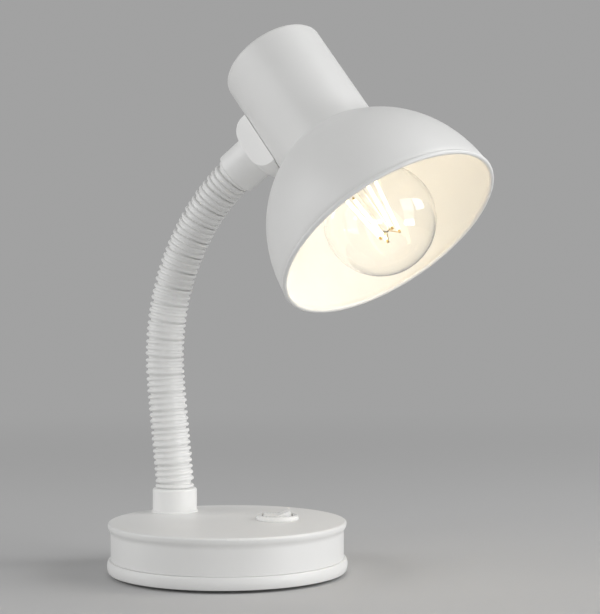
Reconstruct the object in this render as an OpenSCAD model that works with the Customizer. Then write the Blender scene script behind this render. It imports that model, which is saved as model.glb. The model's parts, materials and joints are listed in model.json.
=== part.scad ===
// Gooseneck desk lamp: a round weighted base with a rocker switch, a bendable neck of interlocked
// ring links, and a spun shade with an E27 lampholder and a globe-ended filament bulb.
// +Z is up, and the origin is where the base's axis meets the table. Millimetres.

/* [Base] */
// Diameter of the base's side wall
base_d = 126.4; // [120:1:150]
// Height of the base, from the table to its flat top
base_h = 28.5; // [28:0.5:40]
// Thickness of the base shell
base_wall = 1.5; // [1:0.1:2]
// How far the rolled lip stands out past the side wall
lip_out = 1.5; // [0.8:0.1:2]
// Height of the rolled lip's band
lip_h = 6.4; // [5:0.1:7]
// How far the bead ring of the tray stands out past the side wall
bead_out = 2; // [1:0.1:2.4]
// Height of the bead ring's parting line above the table
bead_h = 8.4; // [7:0.1:9]
// Diameter of the cast iron ballast
ballast_d = 98; // [80:1:100]
// Thickness of the ballast
ballast_h = 7; // [4:0.5:8]
// Thickness of the foot pad
pad_h = 1.6; // [1:0.1:2.4]
// Diameter of the foot pad
pad_d = 110; // [90:1:111]
// Bore of the cord gland
gland_bore_d = 6.4; // [5:0.1:6.6]

/* [Switch] */
// Distance of the switch from the base's axis
switch_offset = 27.4; // [26:0.1:33]
// Direction of the switch from the base's axis
switch_azimuth = 8; // [-20:1:40]
// Diameter of the switch's bezel
bezel_d = 23.4; // [21.5:0.1:24]
// Diameter of the hole that the switch snaps into
switch_hole_d = 20; // [19.5:0.1:20.4]
// Length of the rocker
rocker_l = 15.2; // [14:0.1:16]
// Width of the rocker
rocker_w = 11; // [9:0.1:12]
// Tilt of the rocker to each side of level
rocker_tilt = 10; // [8:0.5:14]

/* [Neck] */
// Distance of the neck's foot from the base's axis
neck_offset = 49.5; // [44:0.1:50]
// Direction of the neck's foot from the base's axis
neck_azimuth = 129; // [110:1:150]
// Direction in which the neck bends over
neck_heading = -22; // [-40:1:20]
// Diameter over the ribs of the neck
neck_d = 21.6; // [20:0.1:22]
// Distance from one rib to the next
rib_pitch = 3.38; // [3.2:0.01:3.6]
// Width of one rib
rib_w = 2.2; // [1.8:0.01:2.3]
// Height of a rib above the groove
rib_h = 1.15; // [0.9:0.01:1.2]
// Number of ring links
link_count = 18; // [12:1:20]
// Lean of the neck where it leaves the lower collar, away from the heading
foot_lean = -5.5; // [-8:0.5:0]
// Tilt that the neck's curve reaches at its top
neck_top_tilt = 48; // [30:0.5:60]
// Length of neck above the lower collar before the curve starts
curve_start = 56.5; // [30:0.5:70]
// How slowly the curve gathers: 1 is a round bend
curve_power = 1.1; // [1:0.05:1.6]
// Bore of the neck for the wires
neck_bore_d = 11.6; // [9:0.1:12]

/* [Collars and knuckle] */
// Diameter of both collars
collar_d = 24.9; // [24.5:0.1:26]
// Height of the lower collar
collar_h = 13.5; // [13:0.5:16]
// Length of the upper collar
upper_collar_l = 14.7; // [13:0.1:16]
// Diameter of the knuckle's round saddle
knuckle_d = 41.6; // [36:0.1:43]
// Height of the knuckle, from the upper collar to the housing
knuckle_h = 10.1; // [9:0.1:16]
// Height over which the knuckle swells from the collar to its full width
knuckle_rise = 9.5; // [7:0.1:11]
// Tilt of the upper collar from upright
head_tilt = 51; // [35:0.5:60]
// Turn of the shade about the upper collar's axis
head_turn = -13.2; // [-30:0.1:30]
// Diameter of the hollow stud and nipples
nipple_d = 10; // [9.5:0.1:10.5]
// Bore of the hollow stud and nipples
nipple_bore_d = 7; // [5:0.1:7.4]

/* [Shade] */
// Diameter of the cylindrical housing
housing_d = 58.2; // [57:0.1:62]
// Diameter of the shade's mouth
mouth_d = 126.8; // [118:0.1:140]
// Space between the lampholder's stub and the housing's closed end
cap_gap = 11.9; // [6:0.1:16]
// Distance from the knuckle's axis to the mouth
mouth_l = 91.2; // [88:0.1:96]
// Depth of the dome's full ellipse, measured from the mouth
dome_depth = 71; // [66:0.1:74]
// Thickness of the shade's sheet
shade_wall = 1; // [0.8:0.05:1.2]
// Radius of the rolled edge at the mouth
rim_r = 1.3; // [1:0.05:1.6]
// Radius of the closed end's edge
cap_edge_r = 3; // [1.5:0.1:5]

/* [Lampholder and bulb] */
// Space between the housing and the lampholder, for the bracket and its clamp
holder_gap = 9.6; // [9.3:0.1:11]
// Length of the lampholder's lower part
holder_body_l = 33; // [30:0.5:36]
// Length of the lampholder's cap
holder_cap_l = 18; // [15:0.5:22]
// Thickness of the lampholder's wall
holder_wall = 2.4; // [1.5:0.1:3]
// Thickness of the bracket's strap
strap_h = 1.5; // [1:0.1:2]
// Width of the bracket's strap
strap_w = 18; // [16:0.5:22]
// Diameter of the bulb's globe
bulb_d = 60; // [55:1:66]
// Length of the bulb from its contact to its tip
bulb_l = 105; // [100:1:108]
// How far the bulb's tip stands out past the shade's mouth
bulb_reach = 18.8; // [16:0.1:21]
// Diameter of the bulb's screw cap
bulb_cap_d = 26.2; // [26:0.1:26.4]
// Thickness of the bulb's glass
glass_wall = 0.8; // [0.5:0.05:1.2]
// Length of one filament
filament_l = 36; // [30:1:40]

/* [Hidden] */
white = [0.93, 0.93, 0.92];
steel = [0.72, 0.73, 0.75];
iron = [0.3, 0.3, 0.31];
rubber = [0.15, 0.15, 0.15];
clear = [0.95, 0.97, 1, 0.35];
amber = [1, 0.85, 0.45];

$fn = 96;
eps = 0.01;
fit = 0.02;          // radial clearance of parts that are seated in each other
run = 0.06;          // radial clearance of parts that turn in each other
thread = 0.1;        // radial clearance of a screw in its hole

// ---- levels and radii of the base
wall_r = base_d / 2;
lip_r = wall_r + lip_out;
bead_r = wall_r + bead_out;
lip_edge_r = 1.2;
lip_band_h = 0.2;
lip_steps = 8;
part_gap = 0.12;
tray_floor_z = pad_h;
tray_floor_h = 2;
tray_top_z = tray_floor_z + tray_floor_h;
bead_mid_z = (bead_h + tray_floor_z) / 2;
bead_arc_r = 8;
bead_edge_r = 0.6;
bead_steps = 12;
bead_edge_steps = 5;
upstand_h = 4;
upstand_w = 1.6;
upstand_r = wall_r - base_wall - fit;
shell_under_z = base_h - base_wall;
post_count = 3;
post_d = 7;
post_offset = wall_r - base_wall - upstand_w - post_d / 2 - 1;
post_first_azimuth = 80;
screw_d = 3;
screw_head_d = 5.6;
screw_head_h = 1.6;
screw_l = 12;

// ---- cord gland, in the rear wall
gland_azimuth = 62;
gland_wall = 1.6;
gland_flange_h = 1.5;
gland_flange_out = 1.2;
gland_nut_h = 2.5;
gland_l = 9;
gland_nut_out = 1.2;
gland_r = gland_bore_d / 2 + gland_wall;
gland_nut_r = gland_r + gland_nut_out;
gland_notch_r = gland_nut_r / cos(30) + 0.5;
gland_z = (bead_h + part_gap + base_h - lip_h) / 2;

// ---- switch
bezel_h = 2.6;
bezel_edge_r = 1.5;
bezel_foot = 0.3;
bezel_steps = 8;
rocker_edge_r = 0.7;
rocker_edge_steps = 4;
slot_gap = 0.6;
rocker_end_z = 3;
rocker_dip = 1.5;
rocker_under = 3;
trunnion_r = 1.3;
trunnion_l = 1.2;
slot_floor_h = 2;
switch_depth = 14;
blade_w = 4.8;
blade_h = 0.8;
blade_l = 5;
blade_pitch = 7;
rocker_reach = rocker_l / 2 * cos(rocker_tilt) + rocker_end_z * sin(rocker_tilt);
slot_l = 2 * (rocker_reach + slot_gap / 2);
slot_w = rocker_w + slot_gap;
pressed_z = rocker_end_z * cos(rocker_tilt) - rocker_l / 2 * sin(rocker_tilt);
pivot_z = base_h + bezel_h - pressed_z;
slot_floor_z = base_h - switch_depth + slot_floor_h;

// ---- neck links
ribs_per_link = 3;
link_l = ribs_per_link * rib_pitch;
crest_r = neck_d / 2;
groove_r = crest_r - rib_h;
groove_w = rib_pitch - rib_w;
skirt_l = rib_w / 2;
shoulder_z = link_l - skirt_l - groove_w;
ball_r = groove_r - 0.4;
ball_wall = 0.9;
ball_top_z = 2.6;
ball_floor_z = -2.4;
socket_top_z = 4.2;
bore_r = neck_bore_d / 2;
hook_r = bore_r + 1.2;
hook_ring_r = ball_r - ball_wall - run;
hook_ring_h = 2;

// ---- foot of the neck
foot_gap = 0.15;
stud_head_r = 8;
stud_head_h = 2;
collar_floor_h = 3.5;
collar_edge_r = 1.5;
collar_foot_out = 0.6;
collar_foot_h = 1;
collar_foot_steps = 6;
washer_h = 1.2;
washer_r = 9;
nut_af = 14;
nut_h = 3.5;
stud_tail = 1;
neck_foot_z = base_h + collar_floor_h + stud_head_h;
collar_r = collar_d / 2;
collar_top_z = base_h + collar_h;
first_joint_h = foot_gap + rib_w + groove_w + skirt_l;
socket_wall_r = groove_r + fit;

// ---- head, measured from the upper collar's rim along its axis
tip_gap = 0.2;
tip_rim_l = skirt_l + tip_gap;
tip_l = 9;
axis_l = upper_collar_l + knuckle_h + housing_d / 2;
nipple_gap = 1;
upper_rim_r = 0.6;
knuckle_start = 1;
knuckle_step = 0.25;
knuckle_core_r = collar_r - knuckle_step;
saddle_gap = 0.25;
saddle_seat_r = 9;
knuckle_steps = 12;

// ---- shade, measured from the knuckle's axis towards the mouth
housing_r = housing_d / 2;
mouth_r = mouth_d / 2;
shade_steps = 24;
seam_r = 2.5;
seam_steps = 6;
hollow_r = housing_r - shade_wall;

// ---- lampholder and bulb, measured from the knuckle's axis towards the mouth
contact_l = mouth_l + bulb_reach - bulb_l;
globe_l = mouth_l + bulb_reach - bulb_d / 2;
holder_floor_h = 3;
contact_h = 4;
contact_r = 4;
contact_rivet_r = 1.5;
bracket_l = contact_l - contact_h - holder_floor_h - holder_cap_l;
holder_r = housing_r - holder_gap;
holder_step = 2;
holder_edge_r = 3;
holder_lip_r = 1;
socket_ring_wall = 1.2;
socket_ring_drop = 2;
sleeve_wall = 0.5;
sleeve_r = bulb_cap_d / 2 + run + sleeve_wall;
sleeve_l = 20;
bulb_shell_l = 22;
bulb_shell_wall = 0.4;
bulb_tip_r = 4.6;
bulb_tip_h = 1.5;
insulator_h = 4;
bulb_neck_r = bulb_cap_d / 2 + 1;
bulb_neck_l = contact_l + bulb_tip_h + insulator_h + bulb_shell_l + 1;
flare_l = bulb_neck_l + 2;
flare_steps = 14;
globe_steps = 28;
stem_r = 2;
stem_foot_l = 12;
filament_r = 0.9;
filament_count = 4;
filament_back = 6.5;
filament_spread = 8.5;
filament_lean = -8.5;
clip_r = 0.7;
clip_l = 1.6;
wire_r = 0.25;
stem_top_l = globe_l - filament_back + filament_l / 2 - 3;
lock_nut_h = 3;
stub_back_l = bracket_l - strap_h - lock_nut_h - 1;
housing_back_l = shade_wall + cap_gap - stub_back_l;
wall_nut_h = 3;
wall_washer_r = 9;
wall_washer_edge_h = 0.6;
washer_flat_r = sqrt(pow(hollow_r - strap_h, 2) - pow(wall_washer_r, 2)) - wall_washer_edge_h;

// ---- the neck's course: tilt at a length along it, and where each joint lies in the plane it bends in
neck_l = first_joint_h + link_count * link_l + tip_rim_l;
curve_l = neck_l - curve_start;
curve_tilt = neck_top_tilt - foot_lean;
function tilt_at(s) = foot_lean + curve_tilt * pow(max(0, s - curve_start) / curve_l, curve_power);
function link_tilt(i) =
    i < 1 ? 0 : i > link_count ? head_tilt : tilt_at(first_joint_h + (i - 0.5) * link_l);
function joint_at(i) = i == 1 ? [0, collar_top_z + first_joint_h]
    : joint_at(i - 1) + link_l * [sin(link_tilt(i - 1)), cos(link_tilt(i - 1))];

// ---- placing
module ring_of(count, offset, first) {
    for (i = [0:count - 1]) rotate([0, 0, first + i * 360 / count]) translate([offset, 0, 0]) children();
}

module at_switch() {
    translate(switch_offset * [cos(switch_azimuth), sin(switch_azimuth), 0]) children();
}

module at_neck_foot() {
    rotate([0, 0, neck_azimuth]) translate([neck_offset, 0, 0])
        rotate([0, 0, neck_heading - neck_azimuth]) children();
}

module at_link(i) {
    at_neck_foot() translate([joint_at(i)[0], 0, joint_at(i)[1]]) rotate([0, link_tilt(i), 0]) children();
}

// The head's frame: its origin is on the rim of the upper collar, +Z runs up the collar to the
// housing and +X runs towards the shade's mouth.
module at_head() {
    at_link(link_count + 1) translate([0, 0, tip_rim_l]) rotate([0, 0, head_turn]) children();
}

// The shade's frame: its origin is where the knuckle's axis meets the shade's axis, +Z runs out of
// the mouth and +X runs towards the knuckle.
module at_shade() {
    at_head() translate([0, 0, axis_l]) rotate([0, 90, 0]) children();
}

module tube(r_out, r_in, h) {
    difference() {
        cylinder(r = r_out, h = h);
        translate([0, 0, -eps]) cylinder(r = r_in, h = h + 2 * eps);
    }
}

// Points on a quarter circle.
function arc_points(centre, r, from, steps) =
    [for (k = [0:steps]) let (a = from + 90 * k / steps) centre + r * [cos(a), sin(a)]];

module hex_nut(af, r_in, h) {
    difference() {
        cylinder(d = af / cos(30), h = h, $fn = 6);
        translate([0, 0, -eps]) cylinder(r = r_in, h = h + 2 * eps);
    }
}

// ---- base
module base_shell() {
    color(white) difference() {
        union() {
            rotate_extrude() difference() {
                shell_outline();
                shell_hollow();
            }
            ring_of(post_count, post_offset, post_first_azimuth)
                translate([0, 0, tray_top_z + part_gap])
                    cylinder(d = post_d, h = shell_under_z - tray_top_z);
        }
        ring_of(post_count, post_offset, post_first_azimuth)
            translate([0, 0, -eps]) cylinder(d = screw_d + 2 * fit, h = tray_floor_z + screw_l + 1);
        at_switch() cylinder(d = switch_hole_d, h = base_h + 1);
        at_neck_foot() translate([0, 0, base_h / 2]) cylinder(r = nipple_d / 2 + thread, h = base_h);
        rotate([0, 0, gland_azimuth]) translate([wall_r - 2 * base_wall - 2, 0, gland_z])
            rotate([0, 90, 0]) cylinder(r = gland_r + fit, h = 4 * base_wall + 4);
    }
}

// The lip's underside: a hollow arc out of the side wall, and a round one into the lip.
function lip_points() = let (
    low = base_h - lip_h,
    swell_h = lip_h - lip_band_h - lip_edge_r,
    r = (swell_h * swell_h + lip_out * lip_out) / (4 * lip_out),
    turn = asin(swell_h / (2 * r)))
    concat(
        [for (k = [0:lip_steps]) let (a = turn * k / lip_steps)
            [wall_r + r * (1 - cos(a)), low + r * sin(a)]],
        [for (k = [1:lip_steps]) let (a = turn * (1 - k / lip_steps))
            [lip_r - r * (1 - cos(a)), low + swell_h - r * sin(a)]]);

// The shell's outside: straight side wall, the lip that swells out of it, and the flat top.
module shell_outline() {
    top = base_h - lip_edge_r;
    union() {
        polygon(concat(
            [[0, bead_h + part_gap], [wall_r, bead_h + part_gap]], lip_points(),
            [[lip_r, top], [0, top]]));
        translate([lip_r - lip_edge_r, top]) circle(r = lip_edge_r, $fn = 48);
        translate([0, top]) square([lip_r - lip_edge_r, lip_edge_r]);
    }
}

module shell_hollow() {
    translate([-1, 0]) square([wall_r - base_wall + 1, shell_under_z]);
}

// A hole through the tray with a conical seat for a screw's head.
module screw_seat() {
    cylinder(d = screw_d + 2 * thread, h = tray_top_z + 1);
    translate([0, 0, tray_floor_z - eps])
        cylinder(d1 = screw_head_d + 2 * thread, d2 = screw_d + 2 * thread, h = screw_head_h + eps);
}

module base_tray() {
    color(white) difference() {
        rotate_extrude() difference() {
            tray_outline();
            translate([-1, tray_top_z]) square([upstand_r - upstand_w + 1, base_h]);
        }
        screw_seat();
        ring_of(post_count, post_offset, post_first_azimuth) screw_seat();
        at_gland() translate([0, 0, upstand_r - upstand_w - wall_r - 1])
            cylinder(r = gland_notch_r, h = upstand_w + 1);
    }
}

// The bead ring's outside: a shallow arc with a rounded edge above and below.
function bead_points() = let (
    rise = (bead_h - tray_floor_z) / 2 - bead_edge_r,
    turn = asin(rise / (bead_arc_r - bead_edge_r)),
    middle = bead_r - bead_arc_r,
    edge = middle + (bead_arc_r - bead_edge_r) * cos(turn))
    concat(
        [for (k = [0:bead_edge_steps - 1]) let (a = -90 + (90 - turn) * k / bead_edge_steps)
            [edge + bead_edge_r * cos(a), bead_mid_z - rise + bead_edge_r * sin(a)]],
        [for (k = [0:bead_steps]) let (a = turn * (2 * k / bead_steps - 1))
            [middle + bead_arc_r * cos(a), bead_mid_z + bead_arc_r * sin(a)]],
        [for (k = [1:bead_edge_steps]) let (a = turn + (90 - turn) * k / bead_edge_steps)
            [edge + bead_edge_r * cos(a), bead_mid_z + rise + bead_edge_r * sin(a)]]);

module tray_outline() {
    polygon(concat([[0, tray_floor_z]], bead_points(), [[0, bead_h]]));
    translate([0, tray_floor_z]) square([upstand_r, bead_h + upstand_h - tray_floor_z]);
}

module ballast() {
    color(iron) difference() {
        translate([0, 0, tray_top_z]) cylinder(d = ballast_d, h = ballast_h);
        cylinder(d = screw_d + 2 * fit, h = tray_top_z + ballast_h + 1);
        at_switch() cylinder(d = switch_hole_d + 4, h = base_h);
    }
}

module countersunk_screw(l) {
    cylinder(d1 = screw_head_d, d2 = screw_d, h = screw_head_h);
    cylinder(d = screw_d, h = l);
}

module tray_screws() {
    color(steel) ring_of(post_count, post_offset, post_first_azimuth)
        translate([0, 0, tray_floor_z]) countersunk_screw(screw_l);
}

module ballast_screw() {
    color(steel) translate([0, 0, tray_floor_z]) countersunk_screw(tray_floor_h + ballast_h - 1);
}

module foot_pad() {
    color(rubber) cylinder(d = pad_d, h = pad_h);
}

module at_gland() {
    rotate([0, 0, gland_azimuth]) translate([wall_r, 0, gland_z]) rotate([0, 90, 0]) children();
}

module cord_gland() {
    color(white) at_gland() difference() {
        union() {
            translate([0, 0, -gland_l]) cylinder(r = gland_r, h = gland_l + gland_flange_h);
            intersection() {
                translate([0, 0, -wall_r])
                    cylinder(r = gland_r + gland_flange_out, h = wall_r + gland_flange_h);
                translate([0, 0, -wall_r]) rotate([0, -90, 0]) translate([0, 0, -base_h])
                    tube(wall_r + gland_flange_h, wall_r + fit, 2 * base_h);
            }
        }
        translate([0, 0, -gland_l - 1]) cylinder(d = gland_bore_d, h = gland_l + gland_flange_h + 2);
    }
}

// The nut is flat and the wall is curved, so its corners touch the wall's inside.
module gland_nut() {
    seat = wall_r - sqrt(pow(wall_r - base_wall, 2) - pow(gland_nut_r / cos(30), 2));
    color(white) at_gland() translate([0, 0, -seat - gland_nut_h]) rotate([0, 0, 30])
        hex_nut(2 * gland_nut_r, gland_r + fit, gland_nut_h);
}

// ---- switch
module switch_body() {
    color(white) at_switch() difference() {
        union() {
            translate([0, 0, base_h - switch_depth])
                cylinder(d = switch_hole_d - 2 * fit, h = switch_depth);
            translate([0, 0, base_h]) rotate_extrude() polygon(concat(
                [[0, 0], [bezel_d / 2 - bezel_foot, 0], [bezel_d / 2, bezel_foot]],
                arc_points([bezel_d / 2 - bezel_edge_r, bezel_h - bezel_edge_r], bezel_edge_r, 0,
                    bezel_steps),
                [[0, bezel_h]]));
        }
        translate([-slot_l / 2, -slot_w / 2, slot_floor_z]) cube([slot_l, slot_w, base_h]);
        translate([0, 0, pivot_z]) rotate([90, 0, 0])
            cylinder(r = trunnion_r + run, h = rocker_w + 2 * trunnion_l + 0.2, center = true);
    }
}

module switch_rocker() {
    end = rocker_l / 2;
    color(white) at_switch() translate([0, 0, pivot_z]) rotate([0, -rocker_tilt, 0]) {
        edge = [end - rocker_edge_r, rocker_end_z - rocker_edge_r];
        rotate([90, 0, 0]) linear_extrude(rocker_w, center = true) polygon(concat(
            [[-end, -rocker_end_z / 3], [-end / 2, -rocker_under],
             [end / 2, -rocker_under], [end, -rocker_end_z / 3]],
            arc_points(edge, rocker_edge_r, 0, rocker_edge_steps),
            [[0, rocker_end_z - rocker_dip]],
            arc_points([-edge[0], edge[1]], rocker_edge_r, 90, rocker_edge_steps)));
        rotate([90, 0, 0]) cylinder(r = trunnion_r, h = rocker_w + 2 * trunnion_l, center = true);
    }
}

module switch_terminals() {
    color(steel) at_switch() for (side = [-1, 1])
        translate([side * blade_pitch / 2 - blade_h / 2, -blade_w / 2, base_h - switch_depth - blade_l])
            cube([blade_h, blade_w, blade_l]);
}

// ---- foot of the neck
module lower_collar() {
    color(white) at_neck_foot() translate([0, 0, base_h]) difference() {
        rotate_extrude() union() {
            edge = collar_edge_r;
            square([collar_r, collar_h - edge]);
            square([collar_r - edge, collar_h]);
            translate([collar_r - edge, collar_h - edge]) circle(r = edge, $fn = 48);
            polygon(concat(
                [[0, 0], [collar_r + collar_foot_out, 0]],
                arc_points([collar_r, collar_foot_h - collar_foot_out], collar_foot_out, 0,
                    collar_foot_steps),
                [[0, collar_foot_h]]));
        }
        translate([0, 0, -eps]) cylinder(r = nipple_d / 2 + thread, h = collar_floor_h + 1);
        translate([0, 0, collar_floor_h]) cylinder(r = socket_wall_r, h = collar_h);
    }
}

module foot_stud() {
    tail_z = shell_under_z - washer_h - nut_h - stud_tail;
    color(steel) at_neck_foot() difference() {
        union() {
            translate([0, 0, tail_z]) cylinder(d = nipple_d, h = base_h + collar_floor_h - tail_z);
            translate([0, 0, base_h + collar_floor_h]) cylinder(r = stud_head_r, h = stud_head_h);
        }
        cylinder(d = nipple_bore_d, h = neck_foot_z + 1);
    }
}

module foot_washer() {
    color(steel) at_neck_foot() translate([0, 0, shell_under_z - washer_h])
        tube(washer_r, nipple_d / 2 + thread, washer_h);
}

module foot_nut() {
    color(steel) at_neck_foot() translate([0, 0, shell_under_z - washer_h - nut_h])
        hex_nut(nut_af, nipple_d / 2 + fit, nut_h);
}

// ---- neck. A link's origin is its lower joint: its skirt turns on the ball ring of the link below,
// and the hook inside it catches that ring from within. Its own ball ring is one link length up.
module rib(z) {
    reach = rib_h - rib_w / 2;
    translate([groove_r - 0.2, z - rib_w / 2]) square([0.2 + reach, rib_w]);
    translate([groove_r + reach, z]) circle(d = rib_w, $fn = 32);
}

// The part of a disc between two heights and outside the bore.
module zone(r, from, to) {
    intersection() {
        circle(r = r);
        translate([bore_r, from]) square([r, to - from]);
    }
}

module skirt(top, ribs) {
    difference() {
        union() {
            translate([bore_r, -skirt_l]) square([groove_r - bore_r, skirt_l + top]);
            for (k = [0:ribs - 1]) rib(k * rib_pitch);
        }
        zone(ball_r + run, -skirt_l - 1, socket_top_z);
    }
    translate([bore_r, 0]) square([hook_r - bore_r, socket_top_z + eps]);
    zone(hook_ring_r, -hook_ring_h / 2, hook_ring_h / 2);
}

module ball_ring() {
    translate([0, link_l]) difference() {
        zone(ball_r, shoulder_z - link_l - 1, ball_top_z);
        zone(ball_r - ball_wall, ball_floor_z, ball_top_z + 1);
    }
}

module neck_link() {
    color(white) rotate_extrude() {
        skirt(shoulder_z, ribs_per_link);
        ball_ring();
    }
}

module neck_foot() {
    rise = collar_top_z + first_joint_h - link_l;
    color(white) at_neck_foot() translate([0, 0, rise]) rotate_extrude() {
        translate([bore_r, neck_foot_z - rise])
            square([groove_r - bore_r, shoulder_z - neck_foot_z + rise]);
        ball_ring();
        rib(shoulder_z - rib_w / 2);
    }
}

module neck_tip() {
    color(white) at_link(link_count + 1) rotate_extrude() skirt(tip_l, 1);
}

// ---- head
module knuckle() {
    cavity_l = tip_l - tip_rim_l;
    color(white) at_head() difference() {
        union() {
            rotate_extrude() union() {
                square([collar_r - upper_rim_r, upper_collar_l]);
                translate([collar_r - upper_rim_r, upper_rim_r]) circle(r = upper_rim_r, $fn = 32);
                translate([0, upper_rim_r])
                    square([collar_r, upper_collar_l + knuckle_start - upper_rim_r]);
            }
            intersection() {
                translate([0, 0, upper_collar_l + knuckle_start]) rotate_extrude() knuckle_outline();
                translate([-knuckle_d, -collar_r, 0]) cube([2 * knuckle_d, collar_d, axis_l]);
                difference() {
                    cylinder(d = 2 * knuckle_d, h = axis_l);
                    translate([0, 0, axis_l]) rotate([0, 90, 0])
                        cylinder(r = housing_r + saddle_gap, h = 4 * knuckle_d, center = true);
                }
            }
            difference() {
                translate([0, 0, upper_collar_l]) cylinder(r = saddle_seat_r, h = axis_l - upper_collar_l);
                translate([0, 0, axis_l]) rotate([0, 90, 0])
                    cylinder(r = housing_r, h = 4 * knuckle_d, center = true);
            }
        }
        translate([0, 0, -1]) cylinder(r = socket_wall_r, h = cavity_l + 1);
        cylinder(r = nipple_d / 2 + fit, h = axis_l);
    }
}

// Quarter ellipse from the collar out to the saddle's full width, then straight to the housing.
module knuckle_outline() {
    swell = knuckle_d / 2 - knuckle_core_r;
    polygon(concat(
        [[0, 0]],
        [for (k = [0:knuckle_steps]) let (a = 90 * k / knuckle_steps)
            [knuckle_core_r + swell * sin(a), knuckle_rise * (1 - cos(a))]],
        [[knuckle_d / 2, axis_l], [0, axis_l]]));
}

module head_nipple() {
    start = tip_l - tip_rim_l + nipple_gap;
    end = axis_l - washer_flat_r + wall_nut_h + nipple_gap;
    color(steel) at_head() translate([0, 0, start]) tube(nipple_d / 2, nipple_bore_d / 2, end - start);
}

// Saddle washer: round to the strap on one side, flat to the nut on the other.
module head_washer() {
    color(steel) at_shade() difference() {
        intersection() {
            translate([washer_flat_r, 0, 0]) rotate([0, 90, 0]) cylinder(r = wall_washer_r, h = housing_r);
            cylinder(r = hollow_r - strap_h, h = 4 * wall_washer_r, center = true);
        }
        rotate([0, 90, 0]) cylinder(r = nipple_d / 2 + thread, h = housing_r);
    }
}

module head_nut() {
    color(steel) at_shade() translate([washer_flat_r - wall_nut_h, 0, 0]) rotate([0, 90, 0])
        hex_nut(nut_af, nipple_d / 2 + fit, wall_nut_h);
}

// ---- shade
function dome_r(l, inset) = (mouth_r - inset) * sqrt(1 - pow((mouth_l - l) / (dome_depth - inset), 2));
function dome_start(inset) =
    mouth_l - (dome_depth - inset) * sqrt(1 - pow((housing_r - inset) / (mouth_r - inset), 2));

// The dome is divided in equal angles of its ellipse.
function dome_points(inset) = let (
    r = mouth_r - inset,
    d = dome_depth - inset,
    first = asin((mouth_l - dome_start(inset)) / d))
    [for (k = [1:shade_steps]) let (a = first * (1 - k / shade_steps)) [r * cos(a), mouth_l - d * sin(a)]];

// Fillet between the housing and the dome.
function seam_points(inset) = let (
    side = housing_r - inset,
    start = dome_start(inset),
    next = dome_points(inset)[0],
    flare = atan2(next[0] - side, next[1] - start),
    r = seam_r + inset)
    [for (k = [0:seam_steps]) let (a = 180 - flare * k / seam_steps)
        [side + r + r * cos(a), start - r * tan(flare / 2) + r * sin(a)]];

module shade_side(inset) {
    edge = cap_edge_r - inset;
    back = -housing_back_l + inset;
    side = housing_r - inset;
    union() {
        polygon(concat(
            [[0, back + edge], [side, back + edge]], seam_points(inset), dome_points(inset),
            [[0, mouth_l]]));
        translate([0, back]) square([side - edge, edge + eps]);
        intersection() {
            translate([side - edge, back + edge]) circle(r = edge, $fn = 48);
            translate([0, back]) square([housing_r, edge]);
        }
    }
}

module shade() {
    color(white) at_shade() difference() {
        rotate_extrude() union() {
            difference() {
                shade_side(0);
                shade_side(shade_wall);
                translate([-1, mouth_l - eps]) square([mouth_r + 2, 1]);
            }
            translate([mouth_r - rim_r + shade_wall / 2, mouth_l - rim_r]) circle(r = rim_r, $fn = 32);
        }
        rotate([0, 90, 0]) cylinder(r = nipple_d / 2 + thread, h = housing_d);
    }
}

// Strap rolled to the housing's inside, with a leg across to the axis.
module holder_bracket() {
    rear = bracket_l - strap_h;
    front = wall_washer_r + 1;
    color(steel) at_shade() difference() {
        union() {
            intersection() {
                translate([0, 0, rear]) tube(hollow_r - fit, hollow_r - strap_h, front - rear);
                translate([0, -strap_w / 2, rear]) cube([housing_d, strap_w, front - rear]);
            }
            intersection() {
                translate([0, 0, rear]) cylinder(r = hollow_r - strap_h / 2, h = strap_h);
                translate([0, -strap_w / 2, rear]) cube([housing_d, strap_w, strap_h]);
            }
            translate([0, 0, rear]) cylinder(d = strap_w, h = strap_h);
        }
        rotate([0, 90, 0]) cylinder(r = nipple_d / 2 + thread, h = housing_d);
        translate([0, 0, rear - 1]) cylinder(r = nipple_d / 2 + thread, h = strap_h + 2);
    }
}

module holder_stub() {
    color(steel) at_shade() translate([0, 0, stub_back_l])
        tube(nipple_d / 2, nipple_bore_d / 2, bracket_l + holder_floor_h - stub_back_l);
}

module holder_nut() {
    color(steel) at_shade() translate([0, 0, bracket_l - strap_h - lock_nut_h])
        hex_nut(nut_af, nipple_d / 2 + fit, lock_nut_h);
}

module holder_cap() {
    side_r = holder_r - holder_step;
    edge = holder_edge_r;
    color(white) at_shade() translate([0, 0, bracket_l]) difference() {
        rotate_extrude() difference() {
            union() {
                translate([0, edge]) square([side_r, holder_cap_l - edge]);
                square([side_r - edge, edge + eps]);
                translate([side_r - edge, edge]) circle(r = edge, $fn = 48);
            }
            translate([-1, holder_floor_h]) square([side_r - holder_wall + 1, holder_cap_l]);
        }
        translate([0, 0, -1]) cylinder(r = nipple_d / 2 + fit, h = holder_floor_h + 2);
    }
}

module holder_body() {
    back = bracket_l + holder_cap_l;
    color(white) at_shade() translate([0, 0, back]) difference() {
        rotate_extrude() union() {
            edge = holder_lip_r;
            square([holder_r, holder_body_l - edge]);
            translate([holder_r - edge, holder_body_l - edge]) circle(r = edge, $fn = 32);
            square([holder_r - edge, holder_body_l]);
        }
        translate([0, 0, holder_floor_h])
            tube(holder_r - holder_wall, sleeve_r + fit + socket_ring_wall, holder_body_l);
        translate([0, 0, holder_body_l - socket_ring_drop])
            cylinder(r = holder_r - holder_wall, h = 2 * socket_ring_drop);
        translate([0, 0, holder_floor_h]) cylinder(r = sleeve_r + fit, h = holder_body_l);
        translate([0, 0, -1]) cylinder(r = contact_rivet_r, h = holder_floor_h + 2);
    }
}

module holder_sleeve() {
    color("goldenrod") at_shade() translate([0, 0, contact_l + bulb_tip_h + insulator_h])
        tube(sleeve_r, sleeve_r - sleeve_wall, sleeve_l);
}

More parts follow.
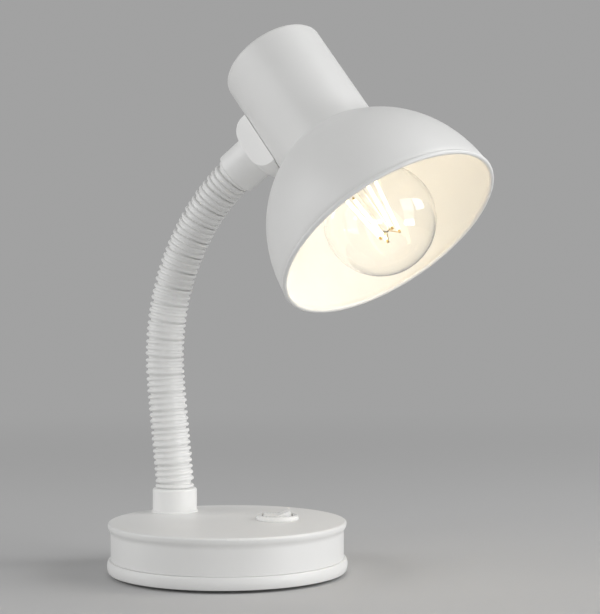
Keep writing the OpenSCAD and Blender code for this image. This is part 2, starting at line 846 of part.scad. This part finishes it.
// Sprung tongue under the bulb's tip: a rivet in the holder's floor with a raised button.
module holder_contact() {
    back = bracket_l + holder_cap_l + holder_floor_h;
    color("goldenrod") at_shade() {
        translate([0, 0, back]) cylinder(r = contact_r, h = contact_h);
        translate([0, 0, back - holder_floor_h])
            cylinder(r = contact_rivet_r - fit, h = holder_floor_h + 1);
    }
}

// ---- bulb
// The neck that is cemented into the cap, a hollow flare that is tangent to it, and the globe.
module bulb_side(inset) {
    r = bulb_d / 2 - inset;
    neck_r = bulb_neck_r - inset;
    back = globe_l - flare_l;
    flare_r = (back * back + neck_r * neck_r - r * r) / (2 * (r - neck_r));
    touch = atan2(back, neck_r + flare_r);
    polygon(concat(
        [[0, bulb_neck_l], [neck_r, bulb_neck_l]],
        [for (k = [0:flare_steps]) let (a = 180 - touch * k / flare_steps)
            [neck_r + flare_r + flare_r * cos(a), flare_l + flare_r * sin(a)]],
        [for (k = [1:globe_steps]) let (a = (90 + touch) * k / globe_steps - touch)
            [r * cos(a), globe_l + r * sin(a)]]));
}

module bulb_glass() {
    color(clear) at_shade() rotate_extrude() difference() {
        bulb_side(0);
        difference() {
            bulb_side(glass_wall);
            square([bulb_d, bulb_neck_l + glass_wall]);
        }
    }
}

module bulb_cap() {
    back = contact_l + bulb_tip_h + insulator_h;
    color("silver") at_shade() difference() {
        translate([0, 0, back]) cylinder(d = bulb_cap_d, h = bulb_neck_l - back);
        translate([0, 0, back - 1])
            cylinder(r = bulb_cap_d / 2 - bulb_shell_wall, h = bulb_neck_l - back - 1);
    }
}

module bulb_insulator() {
    back = contact_l + bulb_tip_h;
    color(rubber) at_shade() translate([0, 0, back])
        cylinder(r1 = bulb_tip_r + 1, r2 = bulb_cap_d / 2 - bulb_shell_wall - fit, h = insulator_h);
}

module bulb_tip() {
    color("silver") at_shade() translate([0, 0, contact_l]) cylinder(r = bulb_tip_r, h = bulb_tip_h);
}

module stem() {
    from = bulb_neck_l + glass_wall;
    waist = from + stem_foot_l;
    rotate_extrude() polygon([
        [0, from], [bulb_neck_r / 2, from], [1.5 * stem_r, (from + waist) / 2], [stem_r, waist],
        [stem_r, stem_top_l], [0, stem_top_l]]);
}

module bulb_stem() {
    color(clear) at_shade() stem();
}

// Places its children along each filament, with +Z towards the bulb's tip.
module at_filaments() {
    ring_of(filament_count, filament_spread, 180 / filament_count)
        translate([0, 0, globe_l - filament_back]) rotate([0, filament_lean, 0]) children();
}

module bulb_filaments() {
    color(amber) at_shade() at_filaments()
        cylinder(r = filament_r, h = filament_l - 2 * clip_l, center = true, $fn = 16);
}

// A wire in the plane of one filament, between two points given as radius and length.
module wire(from, to) {
    run = to - from;
    translate([from[0], 0, from[1]]) rotate([0, atan2(run[0], run[1]), 0])
        cylinder(r = wire_r, h = norm(run), $fn = 16);
}

// A clip on each end of each filament, with the wire that carries it and feeds it from the stem.
module bulb_supports() {
    half = filament_l / 2;
    across = half * sin(filament_lean);
    along = half * cos(filament_lean);
    middle = [filament_spread, globe_l - filament_back];
    foot = [stem_r, bulb_neck_l + glass_wall + stem_foot_l / 2];
    color("goldenrod") at_shade() difference() {
        union() {
            at_filaments() for (side = [-1, 1])
                translate([0, 0, side * (half - clip_l / 2)])
                    cylinder(r = clip_r, h = clip_l, center = true, $fn = 16);
            ring_of(filament_count, 0, 180 / filament_count) {
                wire(foot, middle - [across, along]);
                wire([0, stem_top_l - 1], middle + [across, along]);
            }
        }
        stem();
    }
}

base_shell();
base_tray();
ballast();
tray_screws();
ballast_screw();
foot_pad();
cord_gland();
gland_nut();
switch_body();
switch_rocker();
switch_terminals();
lower_collar();
foot_stud();
foot_washer();
foot_nut();
neck_foot();
for (i = [1:link_count]) at_link(i) neck_link();
neck_tip();
knuckle();
head_nipple();
head_washer();
head_nut();
shade();
holder_bracket();
holder_stub();
holder_nut();
holder_cap();
holder_body();
holder_sleeve();
holder_contact();
bulb_glass();
bulb_cap();
bulb_insulator();
bulb_tip();
bulb_stem();
bulb_filaments();
bulb_supports();
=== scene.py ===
import json
import math

import bpy
from mathutils import Matrix, Vector

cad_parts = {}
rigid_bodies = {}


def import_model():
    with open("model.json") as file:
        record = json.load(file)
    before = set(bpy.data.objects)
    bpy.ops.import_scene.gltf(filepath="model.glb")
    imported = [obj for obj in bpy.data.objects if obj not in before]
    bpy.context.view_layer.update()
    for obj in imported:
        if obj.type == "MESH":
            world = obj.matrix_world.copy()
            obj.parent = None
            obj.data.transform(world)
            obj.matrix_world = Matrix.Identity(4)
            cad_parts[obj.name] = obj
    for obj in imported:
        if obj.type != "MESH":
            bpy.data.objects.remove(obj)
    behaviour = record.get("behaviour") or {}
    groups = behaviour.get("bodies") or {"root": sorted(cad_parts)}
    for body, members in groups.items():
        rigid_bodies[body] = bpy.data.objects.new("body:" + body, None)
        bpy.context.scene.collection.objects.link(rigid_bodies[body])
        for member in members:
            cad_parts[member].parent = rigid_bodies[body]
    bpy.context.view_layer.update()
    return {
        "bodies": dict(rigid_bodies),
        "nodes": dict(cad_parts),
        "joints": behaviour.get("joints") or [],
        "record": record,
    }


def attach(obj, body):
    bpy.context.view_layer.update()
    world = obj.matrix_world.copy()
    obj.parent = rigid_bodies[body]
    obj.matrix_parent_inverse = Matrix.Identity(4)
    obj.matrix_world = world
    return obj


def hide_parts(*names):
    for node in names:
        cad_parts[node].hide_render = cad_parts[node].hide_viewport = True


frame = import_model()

MM = 0.001

# ---- the camera, as the object is seen from a little above the middle of its height
CAMERA_PLACE = Vector((0.0398, -1.0, 0.170))
CAMERA_DOWN = math.radians(1.46)
CAMERA_ROLL = math.radians(0.17)
CAMERA_REACH = (0.05, 50)
FOCAL_PIXELS = 1846
IMAGE_WIDTH = 600
SENSOR_WIDTH = 36

# ---- head, along the upper collar's axis
HEAD_TURN = math.radians(-13.2)
COLLAR_RIM = 1.3 * MM
COLLAR_L = 14.7 * MM
KNUCKLE_H = 10.1 * MM

# ---- shade, along its own axis
HOUSING_R = 29.1 * MM
MOUTH_R = 63.4 * MM
MOUTH_L = 91.2 * MM
BACK_L = 38.4 * MM
DOME_DEPTH = 71 * MM
SHEET = 1 * MM
CAP_EDGE_R = 3 * MM
SEAM_R = 2.5 * MM
SEAM_ANGLE = math.radians(5)
RIM_R = 1.3 * MM
RIM_ARC = (-68, 210, 28)
RIM_OUTSIDE = 2.2 * RIM_R
RIM_INSIDE = 1.7 * RIM_R

# ---- bulb, along the shade's axis
BULB_R = 30 * MM
BULB_L = 105 * MM
BULB_REACH = 18.8 * MM
CONTACT_L = MOUTH_L + BULB_REACH - BULB_L
GLOBE_L = MOUTH_L + BULB_REACH - BULB_R
GLASS_NECK_R = 14.1 * MM
GLASS_NECK_L = CONTACT_L + 28.5 * MM
GLASS_FLARE_R = 40 * MM
GLASS_WALL = 0.4 * MM
STEM_R = 2 * MM
STEM_FLARE_R = GLASS_NECK_R / 2
STEM_TOP = GLOBE_L + 8.5 * MM

# ---- the stage
FLOOR = (0.52, 0.52, 0.52)
BACKGROUND = (0.36, 0.36, 0.36)
FLOOR_HALF = 12
FLOOR_FADE = (0.25, 1.1)
WORLD_LEVEL = 0.26
LIT_POINT = Vector((0, 0, 0.15))
BOX = (0.7, 0.7)
LOW_BOX = (0.7, 0.5)
STRIP = (0.45, 0.18)
SOFTBOXES = (
    # name, place, size, power
    ("right", (1.50, 0, 0.92), BOX, 7.4),
    ("right_high", (0.98, 0, 1.51), BOX, 4.2),
    ("right_front", (1.30, -0.75, 0.92), BOX, 4.25),
    ("right_low", (1.47, -0.85, 0.36), LOW_BOX, 1.45),
    ("left", (-1.50, 0, 0.92), BOX, 5),
    ("left_front", (-1.30, -0.75, 0.92), BOX, 4.8),
    ("left_low", (-1.70, 0, 0.36), LOW_BOX, 0.75),
    ("strip_right", (1.0, -0.575, 0.09), STRIP, 2.6),
    ("strip_front", (-0.08, -1.15, 0.09), STRIP, 1.15),
    ("strip_left", (-1.15, 0, 0.09), STRIP, 0.8),
)
BULB_POWER = 0.060
BULB_COLOUR = (1.0, 0.866, 0.668)
BULB_LIGHT_R = 12 * MM


# ---- frames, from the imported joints
def joint(name):
    return next(j for j in frame["joints"] if j["name"] == name)


LINKS = sum(name.startswith("link_") for name in frame["bodies"])
head_joint = joint(f"neck_side_{LINKS + 1}")
bend_axis = Vector(joint("neck_bend_2")["axis"])
link_x = Vector(head_joint["axis"])
collar_axis = link_x.cross(bend_axis).normalized()
collar_rim = Vector(head_joint["pos_m"]) + COLLAR_RIM * collar_axis
mouth_way = math.cos(HEAD_TURN) * link_x + math.sin(HEAD_TURN) * bend_axis
shade_centre = collar_rim + (COLLAR_L + KNUCKLE_H + HOUSING_R) * collar_axis


def placed(origin, axis_z, axis_x):
    """A matrix for a piece whose own +Z and +X point along the two axes."""
    axis_y = axis_z.cross(axis_x)
    turned = Matrix((axis_x, axis_y, axis_z)).transposed()
    return Matrix.Translation(origin) @ turned.to_4x4()


SHADE = placed(shade_centre, mouth_way, -collar_axis)


# ---- meshes
def add_object(name, data):
    piece = bpy.data.objects.new(name, data)
    bpy.context.scene.collection.objects.link(piece)
    return piece


def arc(centre, radius, start, end, steps):
    """Points (r, z) on an arc, with its angles in degrees from +r towards +z."""
    angles = [math.radians(start + (end - start) * k / steps) for k in range(steps + 1)]
    return [(centre[0] + radius * math.cos(a), centre[1] + radius * math.sin(a)) for a in angles]


def rounded(corners, steps=8):
    """Outline points (r, z) from corners (r, z, radius), each corner turned into an arc."""
    points = []
    for k, (r, z, radius) in enumerate(corners):
        here = Vector((r, z))
        if not radius:
            points.append((r, z))
            continue
        before = (Vector(corners[k - 1][:2]) - here).normalized()
        after = (Vector(corners[(k + 1) % len(corners)][:2]) - here).normalized()
        half = before.angle(after) / 2
        centre = here + radius / math.sin(half) * (before + after).normalized()
        start = here + radius / math.tan(half) * before - centre
        end = here + radius / math.tan(half) * after - centre
        first = math.degrees(math.atan2(start.y, start.x))
        turn = math.degrees(start.angle_signed(end))
        points += arc(centre, radius, first, first - turn, steps)
    return points


def lathe(name, outline, closed, segments, sharp):
    """A mesh on the head, turned about the shade's axis from an outline of (r, z) points."""
    rings = []
    vertices = []
    for r, z in outline:
        if r < 1e-7:
            rings.append([len(vertices)] * segments)
            vertices.append((0, 0, z))
            continue
        rings.append([len(vertices) + k for k in range(segments)])
        turns = [2 * math.pi * k / segments for k in range(segments)]
        vertices += [(r * math.cos(a), r * math.sin(a), z) for a in turns]
    pairs = list(zip(rings, rings[1:]))
    if closed:
        pairs.append((rings[-1], rings[0]))
    faces = []
    for low, high in pairs:
        for k in range(segments):
            n = (k + 1) % segments
            # a ring of radius 0 is one point, which a face takes only once
            corners = list(dict.fromkeys((low[k], low[n], high[n], high[k])))
            if len(corners) > 2:
                faces.append(corners)
    mesh = bpy.data.meshes.new(name)
    mesh.from_pydata(vertices, [], faces)
    mesh.transform(SHADE)
    mesh.validate()
    piece = add_object(name, mesh)
    mesh.shade_smooth()
    mesh.set_sharp_from_angle(angle=math.radians(sharp))
    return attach(piece, "head")


# ---- materials
def new_material(name):
    material = bpy.data.materials.new(name)
    material.use_nodes = True
    nodes = material.node_tree.nodes
    return material, nodes, material.node_tree.links, nodes["Principled BSDF"]


def noise(nodes, links, scale, detail):
    """A noise in the piece's own coordinates, so that it rides with the piece."""
    place = nodes.new("ShaderNodeTexCoord")
    texture = nodes.new("ShaderNodeTexNoise")
    texture.inputs["Scale"].default_value = scale
    texture.inputs["Detail"].default_value = detail
    links.new(place.outputs["Object"], texture.inputs["Vector"])
    return texture.outputs["Fac"]


def ranged(nodes, links, value, low, high):
    """The value, brought from 0.3..0.7, where noise mostly lies, to low..high."""
    node = nodes.new("ShaderNodeMapRange")
    for socket, number in (("From Min", 0.3), ("From Max", 0.7), ("To Min", low), ("To Max", high)):
        node.inputs[socket].default_value = number
    links.new(value, node.inputs["Value"])
    return node.outputs["Result"]


def tinted(nodes, links, value, first, second):
    """A colour between two, by the value."""
    node = nodes.new("ShaderNodeMix")
    node.data_type = "RGBA"
    node.inputs["A"].default_value = (*first, 1)
    node.inputs["B"].default_value = (*second, 1)
    links.new(value, node.inputs["Factor"])
    return node.outputs["Result"]


def bumped(nodes, links, shader, height, distance):
    node = nodes.new("ShaderNodeBump")
    node.inputs["Distance"].default_value = distance
    links.new(height, node.inputs["Height"])
    links.new(node.outputs["Normal"], shader.inputs["Normal"])


def coating(name, first, second, rough, grain, depth):
    """Paint or plastic: two close tones, a roughness that varies, and a fine skin."""
    material, nodes, links, shader = new_material(name)
    broad = noise(nodes, links, 45, detail=3)
    fine = noise(nodes, links, grain, detail=2)
    links.new(tinted(nodes, links, broad, first, second), shader.inputs["Base Color"])
    links.new(ranged(nodes, links, fine, rough - 0.04, rough + 0.04), shader.inputs["Roughness"])
    bumped(nodes, links, shader, fine, depth * MM)
    return material


def plated(name, colour, rough):
    """Plated metal with a fine grain."""
    material, nodes, links, shader = new_material(name)
    fine = noise(nodes, links, 900, detail=3)
    darker = tuple(0.8 * c for c in colour)
    links.new(tinted(nodes, links, fine, darker, colour), shader.inputs["Base Color"])
    links.new(ranged(nodes, links, fine, rough - 0.08, rough + 0.08), shader.inputs["Roughness"])
    shader.inputs["Metallic"].default_value = 1
    bumped(nodes, links, shader, fine, 0.01 * MM)
    return material


def clear_glass():
    """Thin clear glass that lets the light of the filaments and the lamps through."""
    material, nodes, links, shader = new_material("clear_glass")
    shader.inputs["Base Color"].default_value = (0.99, 0.99, 0.985, 1)
    shader.inputs["Roughness"].default_value = 0.0
    shader.inputs["IOR"].default_value = 1.45
    shader.inputs["Transmission Weight"].default_value = 1
    path = nodes.new("ShaderNodeLightPath")
    see = nodes.new("ShaderNodeBsdfTransparent")
    see.inputs["Color"].default_value = (0.97, 0.97, 0.96, 1)
    mix = nodes.new("ShaderNodeMixShader")
    links.new(path.outputs["Is Shadow Ray"], mix.inputs["Fac"])
    links.new(shader.outputs["BSDF"], mix.inputs[1])
    links.new(see.outputs["BSDF"], mix.inputs[2])
    links.new(mix.outputs["Shader"], nodes["Material Output"].inputs["Surface"])
    return material


def glowing(name, colour, light, strength):
    """A coated filament that gives light."""
    material, nodes, links, shader = new_material(name)
    fine = noise(nodes, links, 1500, detail=2)
    darker = tuple(0.85 * c for c in colour)
    links.new(tinted(nodes, links, fine, darker, colour), shader.inputs["Base Color"])
    shader.inputs["Roughness"].default_value = 0.5
    shader.inputs["Emission Color"].default_value = (*light, 1)
    shader.inputs["Emission Strength"].default_value = strength
    return material


# name, two tones, roughness, grain, depth of the skin in mm
PAINT = coating(
    "white_paint", (0.80, 0.80, 0.79), (0.77, 0.77, 0.76), 0.42, 1400, 0.006)
# painted light: the base's white paint is the shade's paint in a lighter tone, standing in for more
# light on the base
BASE_PAINT_LIT_TONE = coating(
    "base_paint_lit_tone", (0.82, 0.82, 0.81), (0.79, 0.79, 0.78), 0.42, 1400, 0.006)
# painted light: the neck links take the same white paint in a lighter tone, standing in for more
# light on the neck
NECK_PAINT_LIT_TONE = coating(
    "neck_paint_lit_tone", (0.87, 0.87, 0.86), (0.84, 0.84, 0.83), 0.40, 1600, 0.005)
# painted light: the lower collar and the knuckle take the same white paint in a lighter tone,
# standing in for the light on their faces
CAST_PAINT_LIT_TONE = coating(
    "casting_paint_lit_tone", (0.89, 0.89, 0.88), (0.86, 0.86, 0.85), 0.40, 1300, 0.007)
# painted shade: the shade's inside takes the same white paint in a darker, slightly warmer tone,
# standing in for less light inside
INSIDE_SHADED_TONE = coating(
    "white_paint_inside_shaded_tone", (0.78, 0.775, 0.755), (0.75, 0.745, 0.725), 0.35, 1400, 0.005)
PLASTIC = coating(
    "white_plastic", (0.86, 0.86, 0.85), (0.84, 0.84, 0.83), 0.26, 1100, 0.0015)
ROCKER = coating(
    "rocker_plastic", (0.93, 0.93, 0.92), (0.91, 0.91, 0.90), 0.30, 1100, 0.0015)
HOLDER = coating(
    "holder_plastic", (0.80, 0.80, 0.78), (0.77, 0.77, 0.75), 0.30, 1800, 0.004)
IRON = coating(
    "cast_iron", (0.10, 0.10, 0.10), (0.06, 0.06, 0.06), 0.75, 500, 0.15)
RUBBER = coating(
    "rubber", (0.030, 0.030, 0.031), (0.022, 0.022, 0.022), 0.85, 900, 0.05)
STEEL = plated("zinc_steel", (0.62, 0.63, 0.65), 0.32)
BRASS = plated("brass", (0.72, 0.52, 0.22), 0.28)
NICKEL = plated("nickel", (0.66, 0.64, 0.60), 0.22)
BLACK = coating(
    "bulb_insulator", (0.012, 0.012, 0.014), (0.008, 0.008, 0.009), 0.15, 800, 0.002)
GLASS = clear_glass()
FILAMENT = glowing("filament", (1.0, 0.80, 0.35), (1.0, 0.86, 0.62), 2.5)

BY_SLOT = {
    "white_paint": PAINT,
    "white_plastic": PLASTIC,
    "cast_iron": IRON,
    "zinc_steel": STEEL,
    "rubber": RUBBER,
    "brass": BRASS,
    "bulb_cap": NICKEL,
    "bulb_insulator": BLACK,
    "clear_glass": GLASS,
    "filament": FILAMENT,
}
BY_NODE = {
    "holder_cap": HOLDER,
    "holder_body": HOLDER,
    "switch_rocker": ROCKER,
    # painted light: the base shell and tray take a lighter copy of the white paint
    "base_shell": BASE_PAINT_LIT_TONE,
    "base_tray": BASE_PAINT_LIT_TONE,
    # painted light: the lower collar and knuckle take a lighter copy of the white paint
    "lower_collar": CAST_PAINT_LIT_TONE,
    "knuckle": CAST_PAINT_LIT_TONE,
}


def dress(piece, *materials):
    piece.data.materials.clear()
    for material in materials:
        piece.data.materials.append(material)


for part in frame["record"]["subparts"]:
    name = part["node"]
    # the neck links get the lighter copy of the white paint, a painted light
    paint = NECK_PAINT_LIT_TONE if name.startswith("neck_") else BY_SLOT[part["material_slot"]]
    dress(frame["nodes"][name], BY_NODE.get(name, paint))


# ---- shade
def dome(inset, first, steps=40):
    """Points (r, z) of the dome's ellipse, from an angle above the mouth down to the mouth."""
    r = MOUTH_R - inset
    depth = DOME_DEPTH - inset
    angles = [first * (1 - k / steps) for k in range(steps + 1)]
    return [(r * math.cos(a), MOUTH_L - depth * math.sin(a)) for a in angles]


def shade_side(inset):
    """The shade's outside, or its inside at an inset, from the closed end to the mouth."""
    r = HOUSING_R - inset
    start = math.acos(r / (MOUTH_R - inset))
    seam_z = MOUTH_L - (DOME_DEPTH - inset) * math.sin(start)
    curve = dome(inset, start - SEAM_ANGLE)
    back = inset - BACK_L
    edge = rounded([(0, back, 0), (r, back, CAP_EDGE_R - inset),
                    (r, seam_z, SEAM_R + inset), (*curve[0], 0)])
    return edge[:-1] + curve


def is_inside(spot):
    """Whether a place on the shade, in the shade's own frame, lies on its inner face."""
    across = math.hypot(spot.x, spot.y)
    share = max(0, 1 - ((MOUTH_L - spot.z) / DOME_DEPTH) ** 2)
    if across >= MOUTH_R * math.sqrt(share) - SHEET / 2:
        return False
    in_housing = spot.z > -BACK_L + SHEET / 2 and across < HOUSING_R - SHEET / 2
    return in_housing or spot.z > 0


def make_shade():
    roll = arc((MOUTH_R - RIM_R + SHEET / 2, MOUTH_L - RIM_R), RIM_R, *RIM_ARC)
    outside = [point for point in shade_side(0) if point[1] < MOUTH_L - RIM_OUTSIDE]
    inside = [point for point in shade_side(SHEET) if point[1] < MOUTH_L - RIM_INSIDE]
    outline = outside + roll + inside[::-1]
    piece = lathe("shade_shell", outline, closed=False, segments=256, sharp=50)
    # the inner faces take the darker copy of the paint, a painted shade
    dress(piece, PAINT, INSIDE_SHADED_TONE)
    to_shade = SHADE.inverted()
    for face in piece.data.polygons:
        face.material_index = int(is_inside(to_shade @ face.center))
    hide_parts("shade")


# ---- bulb
def bulb_side(inset):
    """The glass's outside, or its inside at an inset: neck, flare and globe, up to the tip."""
    r = BULB_R - inset
    neck = GLASS_NECK_R - inset
    flare = GLASS_FLARE_R + inset
    back = math.sqrt((r + flare) ** 2 - (neck + flare) ** 2)
    angle = math.degrees(math.atan2(back, neck + flare))
    hollow = arc((neck + flare, GLOBE_L - back), flare, 180, 180 - angle, 24)
    globe = arc((0, GLOBE_L), r, -angle, 90, 64)
    return [(neck, GLASS_NECK_L)] + hollow[:-1] + globe[:-1] + [(0, GLOBE_L + r)]


def make_glass():
    outline = bulb_side(0) + bulb_side(GLASS_WALL)[::-1]
    piece = lathe("bulb_globe", outline, closed=True, segments=192, sharp=60)
    dress(piece, GLASS)
    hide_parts("bulb_glass")


def make_stem():
    foot = GLASS_NECK_L + GLASS_WALL
    # radius, and height over the foot in mm: the flare narrows to the stem
    narrowing = [(STEM_FLARE_R, 0), (0.8 * STEM_FLARE_R, 2), (0.6 * STEM_FLARE_R, 4),
                 (1.5 * STEM_R, 6), (1.15 * STEM_R, 9), (STEM_R, 12)]
    outline = [(0, foot)] + [(r, foot + up * MM) for r, up in narrowing]
    outline.append((STEM_R, STEM_TOP - STEM_R))
    outline += arc((0, STEM_TOP - STEM_R), STEM_R, 0, 90, 8)[1:-1] + [(0, STEM_TOP)]
    piece = lathe("bulb_mount", outline, closed=False, segments=48, sharp=60)
    dress(piece, GLASS)
    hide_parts("bulb_stem")


# ---- the stage
def make_camera():
    data = bpy.data.cameras.new("camera")
    data.sensor_width = SENSOR_WIDTH
    data.sensor_fit = "HORIZONTAL"
    data.lens = FOCAL_PIXELS / IMAGE_WIDTH * SENSOR_WIDTH
    data.clip_start, data.clip_end = CAMERA_REACH
    camera = add_object("camera", data)
    level = Matrix.Rotation(math.pi / 2 - CAMERA_DOWN, 4, "X")
    turn = level @ Matrix.Rotation(-CAMERA_ROLL, 4, "Z")
    camera.matrix_world = Matrix.Translation(CAMERA_PLACE) @ turn
    bpy.context.scene.camera = camera


def seen_rays(nodes, links):
    """1 for the rays that show the backdrop: from the camera, off gloss and through glass."""
    path = nodes.new("ShaderNodeLightPath")
    total = path.outputs["Is Camera Ray"]
    for ray in ("Is Glossy Ray", "Is Transmission Ray"):
        node = nodes.new("ShaderNodeMath")
        node.operation = "MAXIMUM"
        links.new(total, node.inputs[0])
        links.new(path.outputs[ray], node.inputs[1])
        total = node.outputs["Value"]
    return total


def make_floor():
    """A wide pale floor, which takes the background's even tone away from the lamp."""
    half = FLOOR_HALF
    corners = [(-half, -half, 0), (half, -half, 0), (half, half, 0), (-half, half, 0)]
    mesh = bpy.data.meshes.new("floor")
    mesh.from_pydata(corners, [], [(0, 1, 2, 3)])
    floor = add_object("floor", mesh)
    material, nodes, links, shader = new_material("floor")
    shader.inputs["Base Color"].default_value = (*FLOOR, 1)
    shader.inputs["Roughness"].default_value = 0.9
    place = nodes.new("ShaderNodeTexCoord")
    away = nodes.new("ShaderNodeVectorMath")
    away.operation = "LENGTH"
    fade = nodes.new("ShaderNodeMapRange")
    fade.interpolation_type = "SMOOTHSTEP"
    fade.inputs["From Min"].default_value = FLOOR_FADE[0]
    fade.inputs["From Max"].default_value = FLOOR_FADE[1]
    seen = nodes.new("ShaderNodeMath")
    seen.operation = "MULTIPLY"
    even = nodes.new("ShaderNodeEmission")
    even.inputs["Color"].default_value = (*BACKGROUND, 1)
    mix = nodes.new("ShaderNodeMixShader")
    links.new(place.outputs["Object"], away.inputs[0])
    links.new(away.outputs["Value"], fade.inputs["Value"])
    links.new(fade.outputs["Result"], seen.inputs[0])
    links.new(seen_rays(nodes, links), seen.inputs[1])
    links.new(seen.outputs["Value"], mix.inputs["Fac"])
    links.new(shader.outputs["BSDF"], mix.inputs[1])
    links.new(even.outputs["Emission"], mix.inputs[2])
    links.new(mix.outputs["Shader"], nodes["Material Output"].inputs["Surface"])
    dress(floor, material)


def make_world():
    """Even light from all round, and the background's tone where the camera sees past the floor."""
    world = bpy.data.worlds.new("studio")
    bpy.context.scene.world = world
    world.use_nodes = True
    nodes = world.node_tree.nodes
    links = world.node_tree.links
    light = nodes["Background"]
    light.inputs["Color"].default_value = (1, 1, 1, 1)
    light.inputs["Strength"].default_value = WORLD_LEVEL
    even = nodes.new("ShaderNodeBackground")
    even.inputs["Color"].default_value = (*BACKGROUND, 1)
    mix = nodes.new("ShaderNodeMixShader")
    links.new(seen_rays(nodes, links), mix.inputs["Fac"])
    links.new(light.outputs["Background"], mix.inputs[1])
    links.new(even.outputs["Background"], mix.inputs[2])
    links.new(mix.outputs["Shader"], nodes["World Output"].inputs["Surface"])


def make_softbox(name, place, size, power):
    """An area lamp that faces the object, and that the camera doesn't see."""
    data = bpy.data.lights.new(name, "AREA")
    data.shape = "RECTANGLE"
    data.size, data.size_y = size
    data.energy = power
    lamp = add_object(name, data)
    way = Vector(place) - LIT_POINT
    facing = way.to_track_quat("Z", "Y").to_matrix().to_4x4()
    lamp.matrix_world = Matrix.Translation(place) @ facing
    lamp.visible_camera = False


def make_bulb_light():
    """The bulb's own light, inside its globe. It rides with the head."""
    data = bpy.data.lights.new("bulb_light", "POINT")
    data.energy = BULB_POWER
    data.color = BULB_COLOUR
    data.shadow_soft_size = BULB_LIGHT_R
    # without this the lamp shows as a white ball in the glass
    data.cycles.use_multiple_importance_sampling = False
    lamp = add_object("bulb_light", data)
    lamp.matrix_world = SHADE @ Matrix.Translation((0, 0, GLOBE_L))
    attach(lamp, "head")


make_shade()
make_glass()
make_stem()
make_camera()
make_floor()
make_world()
for box in SOFTBOXES:
    make_softbox(*box)
make_bulb_light()

bpy.context.scene.view_settings.view_transform = "Standard"
